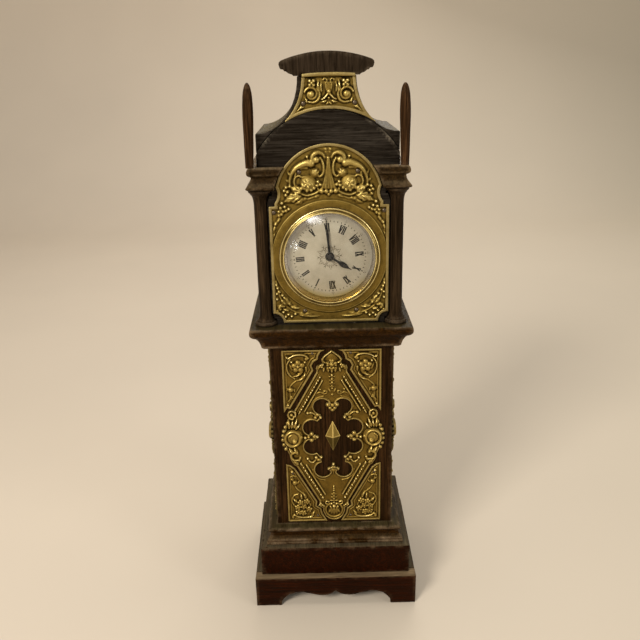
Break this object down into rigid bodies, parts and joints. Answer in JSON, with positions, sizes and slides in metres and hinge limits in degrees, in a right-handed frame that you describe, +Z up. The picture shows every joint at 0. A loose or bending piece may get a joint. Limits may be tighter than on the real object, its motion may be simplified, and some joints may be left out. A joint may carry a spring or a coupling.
{
  "type": "miniature longcase clock",
  "caption": "Miniature longcase clock with a round dial, an arched brass mask, brass trunk mounts, columns, a pagoda roof and a hinged back door.",
  "frame": {"origin": "middle of the rectangle that the clock covers on its surface, at the height of its feet", "axes": "+Z up, -Y towards the viewer of the dial, +X to that viewer's right"},
  "size_m": [0.108, 0.09, 0.353],
  "materials": {
    "dark_wood": "dark stained and waxed, satin",
    "worn_wood": "dark stain rubbed lighter at the edges",
    "stamped_brass": "stamped, antique gilt, dark in the recesses",
    "turned_brass": "polished",
    "steel": "plain",
    "blued_steel": "blackened",
    "glass": "clear, domed",
    "dial_enamel": "cream white enamel"
  },
  "bodies": {
    "case": {"skirt_front": "dark_wood", "skirt_left": "dark_wood", "skirt_right": "dark_wood", "bottom_board": "dark_wood", "plinth_block": "dark_wood", "foot_moulding": "worn_wood", "trunk_front": "dark_wood", "trunk_left": "dark_wood", "trunk_right": "dark_wood", "backboard": "dark_wood", "hood_base": "worn_wood", "hood_front": "dark_wood", "hood_left": "dark_wood", "hood_right": "dark_wood", "cornice_left": "worn_wood", "cornice_right": "worn_wood", "columns": "dark_wood", "finials": "worn_wood", "pagoda_board": "dark_wood", "roof_back": "dark_wood", "roof_left": "worn_wood", "roof_right": "worn_wood", "roof_cap": "dark_wood", "hinge_leaves": "turned_brass", "crest_mount": "stamped_brass", "dial_mask": "stamped_brass", "corner_mounts": "stamped_brass", "lozenge_mounts": "stamped_brass", "diamond_bosses": "stamped_brass", "mount_pins": "steel", "bezel": "turned_brass", "glass": "glass", "dial": "dial_enamel", "drum_case": "turned_brass", "drum_cover": "turned_brass", "drum_brackets": "turned_brass", "front_plate": "turned_brass", "back_plate": "turned_brass", "hairspring": "steel"},
    "door": {"back_door": "worn_wood", "door_leaves": "turned_brass", "door_knob": "turned_brass"},
    "minute": {"minute_hand": "blued_steel", "centre_wheel": "turned_brass", "set_knob": "turned_brass"},
    "motion": {"minute_wheel": "turned_brass"},
    "hour": {"hour_hand": "blued_steel", "hour_wheel": "turned_brass"},
    "barrel": {"barrel": "turned_brass", "barrel_cover": "turned_brass", "mainspring": "steel"},
    "winding": {"barrel_arbor": "steel", "winding_key": "turned_brass"},
    "click": {"click": "steel"},
    "third": {"third_wheel": "turned_brass"},
    "fourth": {"fourth_wheel": "turned_brass"},
    "escape": {"escape_wheel": "turned_brass"},
    "pallet": {"pallet_lever": "steel"},
    "balance": {"balance_wheel": "turned_brass"},
    "regulator": {"regulator": "steel"}
  },
  "joints": [
    {"name": "back_door", "type": "hinge", "parent": "case", "child": "door", "pos_m": [0.027, 0.04365, 0.2405], "axis": [0, 0, -1], "range_deg": [0, 110]},
    {"name": "minute_hand", "type": "hinge", "parent": "case", "child": "minute", "pos_m": [0, -0.015, 0.24], "axis": [0, 1, 0], "continuous": true},
    {"name": "motion_wheel", "type": "hinge", "parent": "case", "child": "motion", "pos_m": [0.006, -0.015, 0.24], "axis": [0, 1, 0], "continuous": true},
    {"name": "hour_hand", "type": "hinge", "parent": "case", "child": "hour", "pos_m": [0, -0.015, 0.24], "axis": [0, 1, 0], "continuous": true},
    {"name": "barrel", "type": "hinge", "parent": "case", "child": "barrel", "pos_m": [0, -0.015, 0.22848], "axis": [0, 1, 0], "continuous": true},
    {"name": "third_wheel", "type": "hinge", "parent": "case", "child": "third", "pos_m": [-0.00779, -0.015, 0.2445], "axis": [0, 1, 0], "continuous": true},
    {"name": "fourth_wheel", "type": "hinge", "parent": "case", "child": "fourth", "pos_m": [-0.0035, -0.015, 0.25063], "axis": [0, 1, 0], "continuous": true},
    {"name": "escape_wheel", "type": "hinge", "parent": "case", "child": "escape", "pos_m": [0.0036, -0.015, 0.25182], "axis": [0, 1, 0], "continuous": true},
    {"name": "winding_key", "type": "hinge", "parent": "case", "child": "winding", "pos_m": [0, -0.015, 0.22848], "axis": [0, 1, 0], "range_deg": [0, 1800]},
    {"name": "click", "type": "hinge", "parent": "case", "child": "click", "pos_m": [0.0064, -0.015, 0.22588], "axis": [0, 1, 0], "range_deg": [0, 14], "stiffness_Nm_per_rad": 0.00002, "springref_deg": -11.46},
    {"name": "pallet_lever", "type": "hinge", "parent": "case", "child": "pallet", "pos_m": [0.0086, -0.015, 0.2489], "axis": [0, 1, 0], "range_deg": [-4, 4]},
    {"name": "balance", "type": "hinge", "parent": "case", "child": "balance", "pos_m": [0.0135, -0.015, 0.244], "axis": [0, 1, 0], "range_deg": [-150, 150], "stiffness_Nm_per_rad": 0.0000044},
    {"name": "regulator", "type": "hinge", "parent": "case", "child": "regulator", "pos_m": [0.0135, -0.015, 0.244], "axis": [0, 1, 0], "range_deg": [-20, 20]}
  ],
  "couplings": [
    {"joint": "hour_hand", "follows": "minute_hand", "ratio": 0.083333},
    {"joint": "motion_wheel", "follows": "minute_hand", "ratio": -0.33333},
    {"joint": "barrel", "follows": "minute_hand", "ratio": -0.125},
    {"joint": "third_wheel", "follows": "minute_hand", "ratio": -8},
    {"joint": "fourth_wheel", "follows": "minute_hand", "ratio": 60},
    {"joint": "escape_wheel", "follows": "minute_hand", "ratio": -480}
  ]
}
